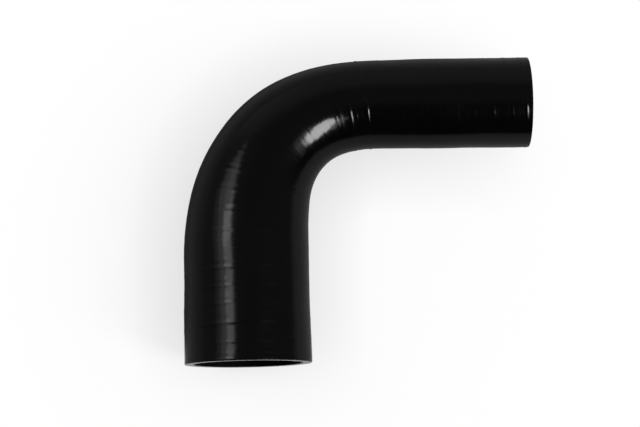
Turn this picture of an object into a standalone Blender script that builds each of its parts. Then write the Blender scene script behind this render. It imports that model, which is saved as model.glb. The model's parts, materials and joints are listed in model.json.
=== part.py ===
"""A silicone elbow hose that turns through a right angle and steps down in bore, lying on a table.

Metres, +Z up. The table is at z = 0, and the origin is under the middle of the hose. The large leg
points along -Y and the small leg along +X. The hose is moulded in one piece, and both ends are cut
square, so its wall shows there as a flat ring.
"""

import math

import bmesh
import bpy
import numpy as np
from mathutils import Matrix, Vector
from mathutils.geometry import intersect_ray_tri

# The two bores, each a standard pipe size, and the wall round them
LARGE_BORE = 0.057
SMALL_BORE = 0.038
WALL = 0.0048

# The centreline: a straight leg, a bend that eases in and out, and another straight leg
LARGE_LEG = 0.0415
BEND_LENGTH = 0.1445
SMALL_LEG = 0.0727
BEND_ANGLE = math.radians(90.0)
# Above 1, the tightest place of the bend lies past its middle, toward the small leg
BEND_LEAN = 1.35

# The bore narrows inside the bend. It starts and ends these distances inside the bend's own ends
TAPER_AFTER_START = 0.011
TAPER_BEFORE_END = 0.0145
# The share of the narrowing that is spent easing into it, and the same again easing out
TAPER_EASE = 0.32

# The large cuff opens a little toward its cut face, over its last stretch
CUFF_FLARE = 0.00048
CUFF_FLARE_LENGTH = 0.040

# The wall is stretched thinner where the bend meets the small leg, and evens out on both sides
NECK_THINNING = 0.0004
NECK_SPREAD = 0.045

# How finely the solid is faceted
SIDES = 60
LEG_STEP = 0.018
BEND_STEP = 0.0062
# How finely the centreline is traced, and how finely the outside is felt for the way it rests
TRACE_STEPS = 2000
REST_SIDES = 360

HOSE_LENGTH = LARGE_LEG + BEND_LENGTH + SMALL_LEG
TAPER_START = LARGE_LEG + TAPER_AFTER_START
TAPER_END = LARGE_LEG + BEND_LENGTH - TAPER_BEFORE_END


def clear_scene():
    """Removes whatever the scene holds."""
    for thing in list(bpy.data.objects):
        bpy.data.objects.remove(thing, do_unlink=True)


def stations():
    """Distances of the rings from the large end's cut face, closer together in the bend."""
    found = [0.0]
    for length, step in ((LARGE_LEG, LEG_STEP), (BEND_LENGTH, BEND_STEP), (SMALL_LEG, LEG_STEP)):
        start = found[-1]
        count = math.ceil(length / step)
        found += [start + length * i / count for i in range(1, count + 1)]
    return found


def added_up(rates, along):
    """The running total of a rate of change, by the trapezium rule."""
    paces = (rates[1:] + rates[:-1]) / 2.0 * np.diff(along)
    return np.concatenate([[0.0], np.cumsum(paces)])


def section_places():
    """A matrix for each station: its ring's centre, with Z back along the centreline and Y up.

    The centreline leaves the large end along +Y and turns toward +X, in the plane z = 0.
    """
    along = np.linspace(0.0, HOSE_LENGTH, TRACE_STEPS)
    through = np.clip((along - LARGE_LEG) / BEND_LENGTH, 0.0, 1.0)
    heading = added_up(np.sin(np.pi * through**BEND_LEAN), along)
    heading *= BEND_ANGLE / heading[-1]
    x = added_up(np.sin(heading), along)
    y = added_up(np.cos(heading), along)
    places = []
    for distance in stations():
        here = [np.interp(distance, along, values) for values in (x, y, heading)]
        facing = Matrix.Rotation(-here[2], 4, "Z") @ Matrix.Rotation(math.radians(90.0), 4, "X")
        places.append(Matrix.Translation((here[0], here[1], 0.0)) @ facing)
    return places


def eased(t):
    """Goes from 0 to 1 at a steady rate, apart from a soft start and a soft stop."""
    t = min(max(t, 0.0), 1.0)
    if t < TAPER_EASE:
        gone = t * t / (2.0 * TAPER_EASE)
    elif t <= 1.0 - TAPER_EASE:
        gone = t - TAPER_EASE / 2.0
    else:
        gone = 1.0 - TAPER_EASE - (1.0 - t) ** 2 / (2.0 * TAPER_EASE)
    return gone / (1.0 - TAPER_EASE)


def bore_radius(distance):
    """Radius of the bore at this distance from the large end."""
    narrowed = eased((distance - TAPER_START) / (TAPER_END - TAPER_START))
    radius = LARGE_BORE / 2.0 + (SMALL_BORE - LARGE_BORE) / 2.0 * narrowed
    shut = min(distance / CUFF_FLARE_LENGTH, 1.0)
    return radius - CUFF_FLARE * shut * (1.0 - narrowed)


def wall_at(distance):
    """Thickness of the wall at this distance from the large end."""
    away = min(abs(distance - TAPER_END) / NECK_SPREAD, 1.0)
    return WALL - NECK_THINNING * (1.0 + math.cos(math.pi * away)) / 2.0


def add_ring(bm, place, radius, sides):
    """Adds one circle of edges, centred and facing as its place says, and returns its edges."""
    made = bmesh.ops.create_circle(bm, segments=sides, radius=radius, matrix=place)
    return list({edge for vert in made["verts"] for edge in vert.link_edges})


def hose_shell():
    """The hose as one closed skin: its outside, its bore, and a flat ring across the wall at each end."""
    bm = bmesh.new()
    sections = list(zip(stations(), section_places()))
    outside = [add_ring(bm, m, bore_radius(s) + wall_at(s), SIDES) for s, m in sections]
    bore = [add_ring(bm, m, bore_radius(s), SIDES) for s, m in sections]
    for rings in (outside, bore):
        for first, second in zip(rings, rings[1:]):
            bmesh.ops.bridge_loops(bm, edges=first + second)
    for end in (0, -1):
        bmesh.ops.triangle_fill(bm, use_beauty=True, edges=outside[end] + bore[end])
    bmesh.ops.recalc_face_normals(bm, faces=bm.faces)
    return bm


def centre_of_mass(bm):
    """Centre of a closed solid, from the cones that its faces make with the origin."""
    volume = 0.0
    moment = Vector()
    for a, b, c in ([loop.vert.co for loop in corner] for corner in bm.calc_loop_triangles()):
        cone = a.cross(b).dot(c) / 6.0
        volume += cone
        moment += cone * (a + b + c) / 4.0
    return moment / volume


def resting_turn(centre):
    """The smallest turn that takes the hose from flat to how it settles on a table.

    A body rests on the side of its convex hull that lies straight under its centre of mass, and
    settles on the one that leaves the centre lowest.
    """
    bm = bmesh.new()
    for distance, place in zip(stations(), section_places()):
        add_ring(bm, place, bore_radius(distance) + wall_at(distance), REST_SIDES)
    bmesh.ops.convex_hull(bm, input=bm.verts)
    lowest = None
    for corner in bm.calc_loop_triangles():
        a, b, c = [loop.vert.co for loop in corner]
        down = (b - a).cross(c - a).normalized()
        if down.z < 0.0 and intersect_ray_tri(a, b, c, down, centre):
            height = (a - centre).dot(down)
            if lowest is None or height < lowest[0]:
                lowest = (height, down)
    bm.free()
    return lowest[1].rotation_difference(Vector((0.0, 0.0, -1.0))).to_matrix().to_4x4()


def rubber_material():
    """Black silicone rubber with a moulded half gloss."""
    material = bpy.data.materials.new("black_silicone")
    material.use_nodes = True
    shader = material.node_tree.nodes["Principled BSDF"]
    shader.inputs["Base Color"].default_value = (0.006, 0.006, 0.0065, 1.0)
    shader.inputs["Roughness"].default_value = 0.3
    shader.inputs["Metallic"].default_value = 0.0
    return material


def make_hose():
    """Makes the elbow, laid on the table with the origin under the middle of its box."""
    bm = hose_shell()
    turn = resting_turn(centre_of_mass(bm))
    laid = [turn @ vert.co for vert in bm.verts]
    low = Vector([min(point[axis] for point in laid) for axis in range(3)])
    high = Vector([max(point[axis] for point in laid) for axis in range(3)])
    middle = (low + high) / 2.0
    mesh = bpy.data.meshes.new("elbow_hose")
    bm.to_mesh(mesh)
    bm.free()
    mesh.materials.append(rubber_material())
    mesh.shade_smooth()
    mesh.set_sharp_from_angle(angle=math.radians(40.0))
    hose = bpy.data.objects.new("elbow_hose", mesh)
    bpy.context.collection.objects.link(hose)
    hose.matrix_world = Matrix.Translation((-middle.x, -middle.y, -low.z)) @ turn
    return hose


clear_scene()
make_hose()
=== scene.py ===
import json
import math

import bmesh
import bpy
import numpy as np
from mathutils import Matrix, Vector, noise


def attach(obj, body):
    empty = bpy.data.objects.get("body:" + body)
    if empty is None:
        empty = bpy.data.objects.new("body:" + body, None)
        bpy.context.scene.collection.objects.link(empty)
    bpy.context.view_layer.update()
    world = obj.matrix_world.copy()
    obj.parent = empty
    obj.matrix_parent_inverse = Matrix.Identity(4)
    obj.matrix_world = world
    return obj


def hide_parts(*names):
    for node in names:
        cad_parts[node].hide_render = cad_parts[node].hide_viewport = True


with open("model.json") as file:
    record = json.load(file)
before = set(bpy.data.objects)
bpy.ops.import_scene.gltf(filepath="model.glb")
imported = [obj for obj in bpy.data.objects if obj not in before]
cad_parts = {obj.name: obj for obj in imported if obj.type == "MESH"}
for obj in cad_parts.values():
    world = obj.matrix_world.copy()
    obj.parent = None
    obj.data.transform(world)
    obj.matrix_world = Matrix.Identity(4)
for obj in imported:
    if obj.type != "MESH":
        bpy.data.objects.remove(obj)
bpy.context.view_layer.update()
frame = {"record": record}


# The hose
# One elbow of silicone rubber. Its plies are laid up on a bent mandrel, bound tight with a curing
# tape and baked. The tape leaves shallow ridges outside, and both ends are then cut square.

# The two bores and the wall round them, in metres
LARGE_BORE = 0.057
SMALL_BORE = 0.038
WALL = 0.0048

# The centreline: a straight leg, a bend that eases in and out, and another straight leg. Above 1, the
# bend's lean puts its tightest place past its middle.
LARGE_LEG = 0.0415
BEND_LENGTH = 0.1445
SMALL_LEG = 0.0727
BEND_ANGLE = math.radians(90.0)
BEND_LEAN = 1.35
HOSE_LENGTH = LARGE_LEG + BEND_LENGTH + SMALL_LEG

# Where the bore narrows, and the share of the narrowing that is spent easing in and easing out
TAPER_AFTER_START = 0.011
TAPER_BEFORE_END = 0.0145
TAPER_EASE = 0.32
TAPER_START = LARGE_LEG + TAPER_AFTER_START
TAPER_END = LARGE_LEG + BEND_LENGTH - TAPER_BEFORE_END

# The large cuff opens a little toward its cut face, and the wall is stretched thinner past the bend
CUFF_FLARE = 0.00048
CUFF_FLARE_LENGTH = 0.040
NECK_THINNING = 0.0004
NECK_SPREAD = 0.045

# The curing tape is one long helix: the length of a turn, and where its first turn lies
TAPE_STEP = 0.00945
TAPE_OFFSET = 0.00375

# Wound by hand, its turns sway by this share of a turn, in a quick wave and a slow one, and the last
# turn is tied off short of its place
TAPE_UNEVEN = 0.05
QUICK_SWAY = 1.9
SLOW_SWAY = 0.83
SLOW_SWAY_START = 1.0
SLOW_SWAY_SHARE = 0.7
TIED_OFF_SHORT = 0.33
TIED_OFF_OVER = 0.005

# How deep the tape bit: all along, past the bend, at the small end, and on the large leg, where it was
# wound slacker and its ridges are broader
PULL_ALL_ALONG = 0.12
PULL_PAST_BEND = 1.22
PULLED_AT = 0.1695
PULLED_OVER = 0.0098
PULL_AT_END = 0.76
END_PULLED_OVER = 0.023
PULL_WHERE_SLACK = 0.12
SLACK_UNTIL = 0.110
SLACK_FADE = 0.010
SLACK_BROADENS = 0.7

# A ridge stands under each of the tape's two edges. For each edge: its place in the turn, the seed
# of its unevenness, and how strong the ridge is as a rule.
TAPE_EDGES = ((0.0, 221.0, 0.8), (0.33, 37.75, 0.1))
RIDGE_HALF_WIDTH = 0.00055
RIDGE_HEIGHT = 0.00017
RIDGE_UNEVEN = 1.1

# The bands between the ridges lie a little deeper or higher from turn to turn, more so where the
# tape pulls
BAND_SEED = 30.0
BAND_HEIGHT = 0.00007
BAND_EDGE = 0.0008
BAND_LEAST = 0.3
BAND_BY_PULL = 0.7

# How quickly the ridges and bands change along the tape
UNEVEN_PACE = 2.3
UNEVEN_SLICE = 0.5

# The laid plies leave a broad wave and a fine ripple
HAND_WAVE = 0.00028
HAND_WAVE_SIZE = 0.024
RIPPLE = 0.000030
RIPPLE_SIZE = 0.0045

# The blade leaves a slightly soft edge
EDGE_ROUND = 0.00035

# Facets round the hose, the distance between its rings outside and in the bore, the steps round a
# soft edge and across a cut, and how finely the centreline is traced
SIDES = 120
OUTSIDE_STEP = 0.00042
BORE_STEP = 0.0030
ROUND_STEPS = 4
CUT_STEPS = 8
TRACE_STEPS = 2000

# Points of the rolled sheet that are this close together become one
SAME_POINT = 1e-6


def added_up(rates, along):
    """The running total of a rate of change, by the trapezium rule."""
    paces = (rates[1:] + rates[:-1]) / 2.0 * np.diff(along)
    return np.concatenate([[0.0], np.cumsum(paces)])


def eased(t):
    """Goes from 0 to 1 at a steady rate, apart from a soft start and a soft stop."""
    t = min(max(t, 0.0), 1.0)
    if t < TAPER_EASE:
        gone = t * t / (2.0 * TAPER_EASE)
    elif t <= 1.0 - TAPER_EASE:
        gone = t - TAPER_EASE / 2.0
    else:
        gone = 1.0 - TAPER_EASE - (1.0 - t) ** 2 / (2.0 * TAPER_EASE)
    return gone / (1.0 - TAPER_EASE)


def bore_radius(distance):
    """Radius of the bore at this distance from the large end."""
    narrowed = eased((distance - TAPER_START) / (TAPER_END - TAPER_START))
    radius = LARGE_BORE / 2.0 + (SMALL_BORE - LARGE_BORE) / 2.0 * narrowed
    shut = min(distance / CUFF_FLARE_LENGTH, 1.0)
    return radius - CUFF_FLARE * shut * (1.0 - narrowed)


def outside_radius(distance):
    """Radius of the outside, where the wall is stretched thinner just past the bend."""
    away = min(abs(distance - TAPER_END) / NECK_SPREAD, 1.0)
    wall = WALL - NECK_THINNING * (1.0 + math.cos(math.pi * away)) / 2.0
    return bore_radius(distance) + wall


def tape_turns(distance):
    """How many turns of the curing tape lie between the large end and this distance."""
    even = (distance - TAPE_OFFSET) / TAPE_STEP
    slow_wave = SLOW_SWAY_SHARE * math.sin(even * SLOW_SWAY + SLOW_SWAY_START)
    uneven = TAPE_UNEVEN * (math.sin(even * QUICK_SWAY) + slow_wave)
    tied_off = TIED_OFF_SHORT * math.exp(-(HOSE_LENGTH - distance) / TIED_OFF_OVER)
    return even + uneven + tied_off


def slack_of_tape(distance):
    """From 1 on the large leg, where the tape was wound looser, to 0 on the bend and the small leg."""
    return 1.0 / (1.0 + math.exp((distance - SLACK_UNTIL) / SLACK_FADE))


def pull_of_tape(distance):
    """How deep the tape bit here: most at the small end and just past the bend."""
    past_bend = math.exp(-(((distance - PULLED_AT) / PULLED_OVER) ** 2))
    at_end = math.exp(-(((distance - HOSE_LENGTH) / END_PULLED_OVER) ** 2))
    pull = PULL_ALL_ALONG + PULL_PAST_BEND * past_bend + PULL_AT_END * at_end
    return pull + PULL_WHERE_SLACK * slack_of_tape(distance)


def unevenness(lap, angle, seed):
    """From -1 to 1, and smooth along the tape. The lap is a whole number of turns from its start."""
    wound = UNEVEN_PACE * (lap - angle / (2.0 * math.pi))
    return noise.noise(Vector((wound, seed, UNEVEN_SLICE)))


def relief(distance, angle):
    """How far the outside stands proud of the plain moulding, from the tape and the laid plies."""
    turns = tape_turns(distance) + angle / (2.0 * math.pi)
    pull = pull_of_tape(distance)
    broad = 1.0 + SLACK_BROADENS * slack_of_tape(distance)
    height = 0.0
    for edge, seed, usual in TAPE_EDGES:
        lap = round(turns - edge)
        off_ridge = (turns - edge - lap) * TAPE_STEP / (RIDGE_HALF_WIDTH * broad)
        strength = max(usual + RIDGE_UNEVEN * unevenness(lap, angle, seed), 0.0)
        height += RIDGE_HEIGHT * broad * pull * strength * math.exp(-(off_ridge**2))
    # The level passes smoothly from one band to the next, over the tape's first edge
    lap = round(turns)
    past_edge = min(max((turns - lap) * TAPE_STEP / BAND_EDGE, -1.0), 1.0)
    share = 0.5 + 0.25 * past_edge * (3.0 - past_edge**2)
    level_before = unevenness(lap, angle, BAND_SEED)
    level_after = unevenness(lap + 1, angle, BAND_SEED)
    level = level_before + (level_after - level_before) * share
    height += BAND_HEIGHT * (BAND_LEAST + BAND_BY_PULL * pull) * level
    radius = outside_radius(distance)
    spot = Vector((distance, radius * math.cos(angle), radius * math.sin(angle)))
    height += RIPPLE * noise.noise(spot / RIPPLE_SIZE)
    return height + HAND_WAVE * noise.noise(spot / HAND_WAVE_SIZE)


along = np.linspace(0.0, HOSE_LENGTH, TRACE_STEPS)
through = np.clip((along - LARGE_LEG) / BEND_LENGTH, 0.0, 1.0)
heading = added_up(np.sin(np.pi * through**BEND_LEAN), along)
heading *= BEND_ANGLE / heading[-1]
trace = (added_up(np.sin(heading), along), added_up(np.cos(heading), along), heading)


def place_at(distance):
    """The section at this distance: its centre, with X across the bend and Z up, in the mould."""
    x, y, turned = [np.interp(distance, along, values) for values in trace]
    return Matrix.Translation((x, y, 0.0)) @ Matrix.Rotation(-turned, 4, "Z")


# The wall's outline, once round: out along the outside, across the small end, back along the
# bore and across the large end. Each row is a kind of surface, a distance along and a radius.
rows = []
length_between_edges = HOSE_LENGTH - 2.0 * EDGE_ROUND
outside_rows = math.ceil(length_between_edges / OUTSIDE_STEP)
for i in range(outside_rows + 1):
    distance = EDGE_ROUND + length_between_edges * i / outside_rows
    rows.append(("outside", distance, outside_radius(distance)))


def cut_face(end, inward, outer, bore):
    """Rows across one cut end, from its outer edge in to the bore, with both edges rounded."""
    found = []
    for part in range(1, ROUND_STEPS):
        t = math.radians(90.0 * part / ROUND_STEPS)
        back = EDGE_ROUND * (1.0 - math.sin(t))
        found.append(("cut", end + inward * back, outer - EDGE_ROUND * (1.0 - math.cos(t))))
    for part in range(CUT_STEPS + 1):
        across = outer - EDGE_ROUND + (bore - outer + 2.0 * EDGE_ROUND) * part / CUT_STEPS
        found.append(("cut", end, across))
    for part in range(1, ROUND_STEPS):
        t = math.radians(90.0 * part / ROUND_STEPS)
        back = EDGE_ROUND * (1.0 - math.cos(t))
        found.append(("cut", end + inward * back, bore + EDGE_ROUND * (1.0 - math.sin(t))))
    return found


rows += cut_face(HOSE_LENGTH, -1.0, outside_radius(HOSE_LENGTH), bore_radius(HOSE_LENGTH))
bore_rows = math.ceil(length_between_edges / BORE_STEP)
for i in range(bore_rows + 1):
    distance = HOSE_LENGTH - EDGE_ROUND - length_between_edges * i / bore_rows
    rows.append(("bore", distance, bore_radius(distance)))
rows += cut_face(0.0, 1.0, outside_radius(0.0), bore_radius(0.0))[::-1]
rows.append(rows[0])

# The kinds of surface, in the order in which their finishes are put on
SURFACES = ("outside", "cut", "bore")

# A sheet with one row of squares for each row of the outline is rolled up into the hose, and its
# edges are joined
bm = bmesh.new()
sheet_map = bm.loops.layers.uv.new("round_and_along")
bmesh.ops.create_grid(bm, x_segments=SIDES, y_segments=len(rows) - 1, size=0.5, calc_uvs=True)
places = [place_at(distance) for _, distance, _ in rows]
for face in bm.faces:
    for loop in face.loops:
        row = round(loop[sheet_map].uv.y * (len(rows) - 1))
        loop[sheet_map].uv.y = rows[row][1]
    row = round((face.calc_center_median().y + 0.5) * (len(rows) - 1) - 0.5)
    face.material_index = SURFACES.index(rows[row][0])
    face.smooth = True
for vert in bm.verts:
    angle = (vert.co.x + 0.5) * 2.0 * math.pi
    row = round((vert.co.y + 0.5) * (len(rows) - 1))
    kind, distance, radius = rows[row]
    if kind == "outside":
        radius += relief(distance, angle)
    vert.co = places[row] @ Vector((radius * math.cos(angle), 0.0, radius * math.sin(angle)))
bmesh.ops.remove_doubles(bm, verts=bm.verts, dist=SAME_POINT)
bmesh.ops.recalc_face_normals(bm, faces=bm.faces)

# The hose lies where the frame has it: its two cut faces give its turn and its place
faces = {mount["name"]: mount for mount in frame["record"]["mounts"]}
large_out = Vector(faces["large_end_face"]["axis"])
small_out = Vector(faces["small_end_face"]["axis"])
turn = Matrix((small_out, -large_out, small_out.cross(-large_out))).transposed().to_4x4()
rise = (Vector((0.0, 0.0, 1.0)) - large_out.z * large_out).normalized()
middle_of_wall = (bore_radius(0.0) + outside_radius(0.0)) / 2.0
large_centre = Vector(faces["large_end_face"]["pos_m"]) - rise * middle_of_wall
bmesh.ops.transform(bm, matrix=Matrix.Translation(large_centre) @ turn, verts=bm.verts)
hose_mesh = bpy.data.meshes.new("moulded_hose")
bm.to_mesh(hose_mesh)
bm.free()
hose = bpy.data.objects.new("moulded_hose", hose_mesh)
bpy.context.scene.collection.objects.link(hose)


def add_node(tree, kind, **settings):
    """Adds a node and sets its properties, and those of its inputs that are named with a number."""
    node = tree.nodes.new(kind)
    for name, value in settings.items():
        if name.startswith("in_"):
            node.inputs[int(name[3:])].default_value = value
        else:
            setattr(node, name, value)
    return node


def join(tree, *sockets):
    """Links pairs of sockets: from, to, from, to."""
    for source, target in zip(sockets[::2], sockets[1::2]):
        tree.links.new(source, target)


# Every finish is near black, and its colour drifts in soft clouds this many to a metre, from its
# blackest to its greyest. The patterns all have this much fine detail.
CLOUDS = 40.0
DETAIL = 3.0
OUTSIDE_BLACKEST = (0.0009, 0.0009, 0.0010, 1.0)
OUTSIDE_GREYEST = (0.0018, 0.0018, 0.0019, 1.0)
CUT_BLACKEST = (0.010, 0.010, 0.010, 1.0)
CUT_GREYEST = (0.016, 0.016, 0.016, 1.0)
BORE_BLACKEST = (0.0007, 0.0007, 0.0007, 1.0)
BORE_GREYEST = (0.0012, 0.0012, 0.0012, 1.0)

# How strongly the rubber bends light, and how little the matt bore shines
SILICONE_IOR = 1.41
BORE_SHINE = 0.07

# Roughness in the hollows and on the heights of each finish's marks, and what counts as those
OUTSIDE_ROUGHNESS = (0.11, 0.17)
CUT_ROUGHNESS = (0.10, 0.20)
BORE_ROUGHNESS = (0.6, 0.75)
MARK_HOLLOW = 0.3
MARK_HEIGHT = 0.7

# The tape prints its weave on the outside, the mandrel scores the bore lengthwise as it is drawn out,
# and the blade drags lines across the cut. Each is given as its width and its depth.
SILICONE_GRAIN = (0.0024, 0.000014)
TAPE_WEAVE = (0.0011, 0.0000025)
BLADE_DRAG = (0.0006, 0.000008)
MANDREL_SCORE = (0.0012, 0.000020)

# How often each of them changes along its own lines: the weave to a radian round the hose, and the
# drag and score lines to a metre
WEAVE_ROUND = 3.0
DRAG_ACROSS = 60.0
SCORE_ALONG = 40.0


def rubber(name, blackest, greyest):
    """A silicone rubber finish for the hose, still without its marks: its node tree and its shader."""
    material = bpy.data.materials.new(name)
    material.use_nodes = True
    hose_mesh.materials.append(material)
    tree = material.node_tree
    shader = tree.nodes["Principled BSDF"]
    shader.inputs["IOR"].default_value = SILICONE_IOR
    spot = add_node(tree, "ShaderNodeTexCoord")
    clouds = add_node(tree, "ShaderNodeTexNoise", in_2=CLOUDS, in_3=DETAIL)
    shade = add_node(tree, "ShaderNodeMix", data_type="RGBA", in_6=blackest, in_7=greyest)
    join(
        tree,
        spot.outputs["Object"], clouds.inputs["Vector"],
        clouds.outputs[0], shade.inputs[0],
        shade.outputs[2], shader.inputs["Base Color"],
    )
    return tree, shader


def on_the_sheet(tree, round_scale, along_scale):
    """Coordinates that follow the rolled sheet and close round it: a circle, and the way along."""
    sheet = add_node(tree, "ShaderNodeUVMap", uv_map="round_and_along")
    parts = add_node(tree, "ShaderNodeSeparateXYZ")
    angle = add_node(tree, "ShaderNodeMath", operation="MULTIPLY", in_1=2.0 * math.pi)
    sideways = add_node(tree, "ShaderNodeMath", operation="COSINE")
    upwards = add_node(tree, "ShaderNodeMath", operation="SINE")
    circle = add_node(tree, "ShaderNodeCombineXYZ")
    scale = (round_scale, round_scale, along_scale)
    scaled = add_node(tree, "ShaderNodeVectorMath", operation="MULTIPLY", in_1=scale)
    join(
        tree,
        sheet.outputs["UV"], parts.inputs[0],
        parts.outputs["X"], angle.inputs[0],
        angle.outputs[0], sideways.inputs[0],
        angle.outputs[0], upwards.inputs[0],
        sideways.outputs[0], circle.inputs["X"],
        upwards.outputs[0], circle.inputs["Y"],
        parts.outputs["Y"], circle.inputs["Z"],
        circle.outputs[0], scaled.inputs[0],
    )
    return scaled.outputs[0]


def in_the_block(tree, scale):
    """Coordinates in space, with a scale for each axis."""
    spot = add_node(tree, "ShaderNodeTexCoord")
    scaled = add_node(tree, "ShaderNodeMapping", in_3=scale)
    join(tree, spot.outputs["Object"], scaled.inputs["Vector"])
    return scaled.outputs[0]


def press(tree, shader, coordinates, depth):
    """Presses marks this deep into the finish, over those it has already, and returns their pattern."""
    pattern = add_node(tree, "ShaderNodeTexNoise", in_2=1.0, in_3=DETAIL)
    pressed = add_node(tree, "ShaderNodeBump", in_0=1.0, in_1=depth)
    join(tree, coordinates, pattern.inputs["Vector"], pattern.outputs[0], pressed.inputs["Height"])
    for earlier in [link.from_socket for link in shader.inputs["Normal"].links]:
        join(tree, earlier, pressed.inputs["Normal"])
    join(tree, pressed.outputs[0], shader.inputs["Normal"])
    return pattern.outputs[0]


def dull(tree, shader, pattern, roughness):
    """Makes the finish duller where its marks stand high, between these two roughnesses."""
    duller = add_node(
        tree, "ShaderNodeMapRange",
        in_1=MARK_HOLLOW, in_2=MARK_HEIGHT, in_3=roughness[0], in_4=roughness[1],
    )
    join(tree, pattern, duller.inputs["Value"], duller.outputs[0], shader.inputs["Roughness"])


# Outside, where the tape was pulled tight: glossy, with the tape's weave running round the hose
tree, shader = rubber("black_silicone_outside", OUTSIDE_BLACKEST, OUTSIDE_GREYEST)
grain_spots = in_the_block(tree, (1.0 / SILICONE_GRAIN[0],) * 3)
press(tree, shader, grain_spots, SILICONE_GRAIN[1])
weave_spots = on_the_sheet(tree, WEAVE_ROUND, 1.0 / TAPE_WEAVE[0])
weave = press(tree, shader, weave_spots, TAPE_WEAVE[1])
dull(tree, shader, weave, OUTSIDE_ROUGHNESS)

# The cut ends, a little greyer, with the blade's drag lines level across them
tree, shader = rubber("cut_silicone", CUT_BLACKEST, CUT_GREYEST)
drag_spots = in_the_block(tree, (DRAG_ACROSS, DRAG_ACROSS, 1.0 / BLADE_DRAG[0]))
drag = press(tree, shader, drag_spots, BLADE_DRAG[1])
dull(tree, shader, drag, CUT_ROUGHNESS)

# The bore, matt from the mandrel, with its score lines running along the hose
tree, shader = rubber("black_silicone_bore", BORE_BLACKEST, BORE_GREYEST)
shader.inputs["Specular IOR Level"].default_value = BORE_SHINE
score_spots = on_the_sheet(tree, SMALL_BORE / 2.0 / MANDREL_SCORE[0], SCORE_ALONG)
score = press(tree, shader, score_spots, MANDREL_SCORE[1])
dull(tree, shader, score, BORE_ROUGHNESS)

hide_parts("elbow_hose")
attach(hose, "root")


# The table
# A broad sweep of white paper, lit from behind, that the hose lies on. The camera sees it white, with
# a faint shade round the hose, partly cast by the lamps and partly painted shade where the hose is
# close. The gloss of the hose mirrors it as grey, nearly white under a painted pool of light in front
# of the large mouth, and with a painted glow far off.

# How far the sweep reaches to each side
SWEEP_HALF = 6.0

# The paper as the hose mirrors it: its tone, the tone under a painted pool of light in front of the
# large mouth where it is nearly white, the place and reach of that, and the painted glow that takes
# over far off
PAPER_MIRRORED = 0.36
PAPER_PAINTED_LIT_IN_FRONT = 0.85
IN_FRONT = (-0.059, -0.090, 0.0)
FRONT_FROM = 0.042
FRONT_BY = 0.060
FAR_GLOW = 0.185
FAR_FROM = 0.15
FAR_BY = 0.60

# The paper as the camera sees it: its tone, the glow from behind, the share of that glow taken away
# as painted shade where the hose is close over it and how near that reaches, and the greyest place
# with the way from there to pure white
PAPER_SEEN = (0.17, 0.17, 0.17, 1.0)
GLOW = 0.88
CONTACT_SHADE = 0.34
CONTACT_REACH = 0.04
GREYEST_AT = (-0.030, -0.030, 0.0)
WHITE_FROM = 0.07
WHITE_BY = 0.19

bm = bmesh.new()
bmesh.ops.create_grid(bm, x_segments=2, y_segments=2, size=SWEEP_HALF)
floor_mesh = bpy.data.meshes.new("floor")
bm.to_mesh(floor_mesh)
bm.free()
floor = bpy.data.objects.new("floor", floor_mesh)
bpy.context.scene.collection.objects.link(floor)
sweep = bpy.data.materials.new("white_sweep")
sweep.use_nodes = True
tree = sweep.node_tree
tree.nodes.clear()


def soft_step(tree, start, end, before, after):
    """A value that passes smoothly from before to after while its input goes from start to end."""
    return add_node(
        tree, "ShaderNodeMapRange", interpolation_type="SMOOTHSTEP",
        in_1=start, in_2=end, in_3=before, in_4=after,
    )


place = add_node(tree, "ShaderNodeTexCoord")
away = add_node(tree, "ShaderNodeVectorMath", operation="LENGTH")
from_front = add_node(tree, "ShaderNodeVectorMath", operation="DISTANCE", in_1=IN_FRONT)
# The paper's tone in the gloss of the hose, with a painted pool of light in front of the large mouth
paper_and_painted_light = soft_step(tree, FRONT_FROM, FRONT_BY, PAPER_PAINTED_LIT_IN_FRONT, PAPER_MIRRORED)
paper = add_node(tree, "ShaderNodeBsdfDiffuse")
# A painted glow that the hose mirrors from the paper far off, in place of lit paper
painted_far_glow = add_node(tree, "ShaderNodeEmission", in_1=FAR_GLOW)
far = soft_step(tree, FAR_FROM, FAR_BY, 0.0, 1.0)
mirrored = add_node(tree, "ShaderNodeMixShader")
paper_seen = add_node(tree, "ShaderNodeBsdfDiffuse", in_0=PAPER_SEEN)
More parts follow.
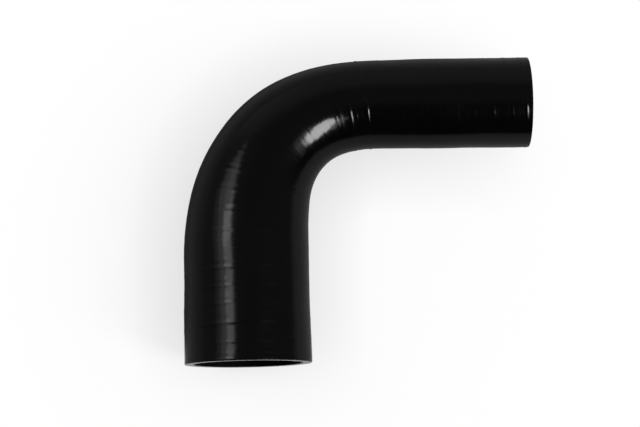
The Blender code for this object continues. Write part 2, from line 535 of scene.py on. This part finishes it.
# Painted shade: the glow that the camera sees is dimmed where the hose is close over the paper
open_sky = add_node(tree, "ShaderNodeAmbientOcclusion", in_1=CONTACT_REACH)
glow_less_painted_shade = add_node(tree, "ShaderNodeMapRange", in_3=GLOW * (1.0 - CONTACT_SHADE), in_4=GLOW)
glow = add_node(tree, "ShaderNodeEmission")
near_hose = add_node(tree, "ShaderNodeAddShader")
pure_white = add_node(tree, "ShaderNodeEmission", in_1=1.0)
from_greyest = add_node(tree, "ShaderNodeVectorMath", operation="DISTANCE", in_1=GREYEST_AT)
fade = soft_step(tree, WHITE_FROM, WHITE_BY, 0.0, 1.0)
seen = add_node(tree, "ShaderNodeMixShader")
ray = add_node(tree, "ShaderNodeLightPath")
finish = add_node(tree, "ShaderNodeMixShader")
output = add_node(tree, "ShaderNodeOutputMaterial")
join(
    tree,
    place.outputs["Object"], from_front.inputs[0],
    from_front.outputs["Value"], paper_and_painted_light.inputs["Value"],
    paper_and_painted_light.outputs[0], paper.inputs["Color"],
    place.outputs["Object"], away.inputs[0],
    away.outputs["Value"], far.inputs["Value"],
    far.outputs[0], mirrored.inputs[0],
    paper.outputs[0], mirrored.inputs[1],
    painted_far_glow.outputs[0], mirrored.inputs[2],
    open_sky.outputs["AO"], glow_less_painted_shade.inputs["Value"],
    glow_less_painted_shade.outputs[0], glow.inputs["Strength"],
    paper_seen.outputs[0], near_hose.inputs[0],
    glow.outputs[0], near_hose.inputs[1],
    place.outputs["Object"], from_greyest.inputs[0],
    from_greyest.outputs["Value"], fade.inputs["Value"],
    fade.outputs[0], seen.inputs[0],
    near_hose.outputs[0], seen.inputs[1],
    pure_white.outputs[0], seen.inputs[2],
    ray.outputs["Is Camera Ray"], finish.inputs[0],
    mirrored.outputs[0], finish.inputs[1],
    seen.outputs[0], finish.inputs[2],
    finish.outputs[0], output.inputs["Surface"],
)
floor_mesh.materials.append(sweep)


# The lights
# Two soft boxes stand on opposite sides of the table, each about 45 degrees up: a bright round one
# on the right, and a dimmer one, hung askew, on the left. Their cloths are brighter in some panes
# than in others. The room behind them is dark, and darkest on the near side.

# The nearest pane stands this far off. The others stand a little behind each other, so that their
# light adds up where they overlap.
NEAREST_PANE = 1.5
PANE_GAP = 0.02

# Which way each box stands from the hose, and how far the left one is turned
RIGHT_BOX = Vector((0.60, -0.36, 0.714)).normalized()
LEFT_BOX = Vector((-0.60, 0.33, 0.729)).normalized()
LEFT_BOX_ROLL = math.radians(50.0)

# The panes of each box: name, shape, shift across and above, width and height, and brightness. The
# shifts and the sizes are shares of the pane's distance, and the brightness is 1 where white is.
RIGHT_PANES = (
    ("right_soft_box", "ELLIPSE", 0.02, 0.005, 0.31, 0.58, 13.5),
    ("right_soft_box_side", "RECTANGLE", -0.17, 0.08, 0.18, 0.40, 1.6),
    ("right_wall", "RECTANGLE", 0.23, -0.10, 0.14, 0.70, 0.35),
)
LEFT_PANES = (
    ("left_soft_box", "RECTANGLE", 0.081, 0.108, 0.41, 0.215, 1.35),
    ("left_soft_box_middle", "RECTANGLE", 0.026, 0.043, 0.24, 0.215, 1.0),
    ("left_soft_box_fade", "RECTANGLE", -0.106, -0.126, 0.19, 0.20, 0.5),
    ("left_soft_box_shade", "RECTANGLE", 0.050, -0.042, 0.72, 0.41, 0.5),
    ("left_wall", "RECTANGLE", 0.092, -0.077, 0.80, 0.60, 0.2),
)

for towards, roll, panes in ((RIGHT_BOX, 0.0, RIGHT_PANES), (LEFT_BOX, LEFT_BOX_ROLL, LEFT_PANES)):
    side = Vector((0.0, 0.0, 1.0)).cross(towards).normalized()
    facing = Matrix((side, towards.cross(side), towards)).transposed().to_4x4()
    for behind, (name, shape, across, above, width, height, brightness) in enumerate(panes):
        distance = NEAREST_PANE + PANE_GAP * behind
        pane = bpy.data.lights.new(name, "AREA")
        pane.shape = shape
        pane.size = width * distance
        pane.size_y = height * distance
        pane.energy = brightness * math.pi * (width * distance) * (height * distance)
        if shape == "ELLIPSE":
            pane.energy *= math.pi / 4.0
        hung = bpy.data.objects.new(name, pane)
        shift = Matrix.Translation(Vector((across, above, 1.0)) * distance)
        hung.matrix_world = facing @ shift @ Matrix.Rotation(roll, 4, "Z")
        bpy.context.scene.collection.objects.link(hung)

# The room's light, by direction. It rises from the near side to the far side, more so on the far
# wall, and it is this many times stronger on the left.
ROOM_NEAR = 0.015
ROOM_FAR = 0.10
ROOM_RISE = (-0.35, 0.15)
FAR_WALL = 0.11
FAR_WALL_RISE = (0.60, 0.88)
LEFT_STRONGER = 1.5
LEFT_RISE = (0.1, -0.9)
ROOM_WHITE = (1.0, 1.0, 1.0, 1.0)

world = bpy.data.worlds.new("studio")
bpy.context.scene.world = world
world.use_nodes = True
tree = world.node_tree
tree.nodes.clear()
toward = add_node(tree, "ShaderNodeTexCoord")
parts = add_node(tree, "ShaderNodeSeparateXYZ")
room_itself = soft_step(tree, *ROOM_RISE, ROOM_NEAR, ROOM_FAR)
far_wall = soft_step(tree, *FAR_WALL_RISE, 0.0, FAR_WALL)
left_side = soft_step(tree, *LEFT_RISE, 1.0, LEFT_STRONGER)
wall_light = add_node(tree, "ShaderNodeMath", operation="ADD")
room_light = add_node(tree, "ShaderNodeMath", operation="MULTIPLY")
room = add_node(tree, "ShaderNodeBackground", in_0=ROOM_WHITE)
white = add_node(tree, "ShaderNodeBackground", in_0=ROOM_WHITE, in_1=1.0)
ray = add_node(tree, "ShaderNodeLightPath")
seen = add_node(tree, "ShaderNodeMixShader")
output = add_node(tree, "ShaderNodeOutputWorld")
join(
    tree,
    toward.outputs["Generated"], parts.inputs[0],
    parts.outputs["Y"], room_itself.inputs["Value"],
    parts.outputs["Y"], far_wall.inputs["Value"],
    room_itself.outputs[0], wall_light.inputs[0],
    far_wall.outputs[0], wall_light.inputs[1],
    parts.outputs["X"], left_side.inputs["Value"],
    wall_light.outputs[0], room_light.inputs[0],
    left_side.outputs[0], room_light.inputs[1],
    room_light.outputs[0], room.inputs["Strength"],
    ray.outputs["Is Camera Ray"], seen.inputs[0],
    room.outputs[0], seen.inputs[1],
    white.outputs[0], seen.inputs[2],
    seen.outputs[0], output.inputs["Surface"],
)


# The camera
# It looks almost straight down from 1.4 m above the table, through a long lens.
CAMERA_PLACE = Vector((-0.0569, -0.0495, 1.4))
CAMERA_AIM = Vector((-0.0190, 0.0009, 0.0))
CAMERA_ROLL = math.radians(-1.12)
CAMERA_LENS = 146.5
CAMERA_SENSOR = 36.0

camera = bpy.data.objects.new("camera", bpy.data.cameras.new("camera"))
camera.data.lens = CAMERA_LENS
camera.data.sensor_width = CAMERA_SENSOR
back = (CAMERA_PLACE - CAMERA_AIM).normalized()
top_of_picture = Matrix.Rotation(CAMERA_ROLL, 3, "Z") @ Vector((0.0, 1.0, 0.0))
right = top_of_picture.cross(back).normalized()
facing = Matrix((right, back.cross(right), back)).transposed().to_4x4()
camera.matrix_world = Matrix.Translation(CAMERA_PLACE) @ facing
bpy.context.scene.collection.objects.link(camera)
bpy.context.scene.camera = camera
bpy.context.scene.view_settings.view_transform = "Standard"
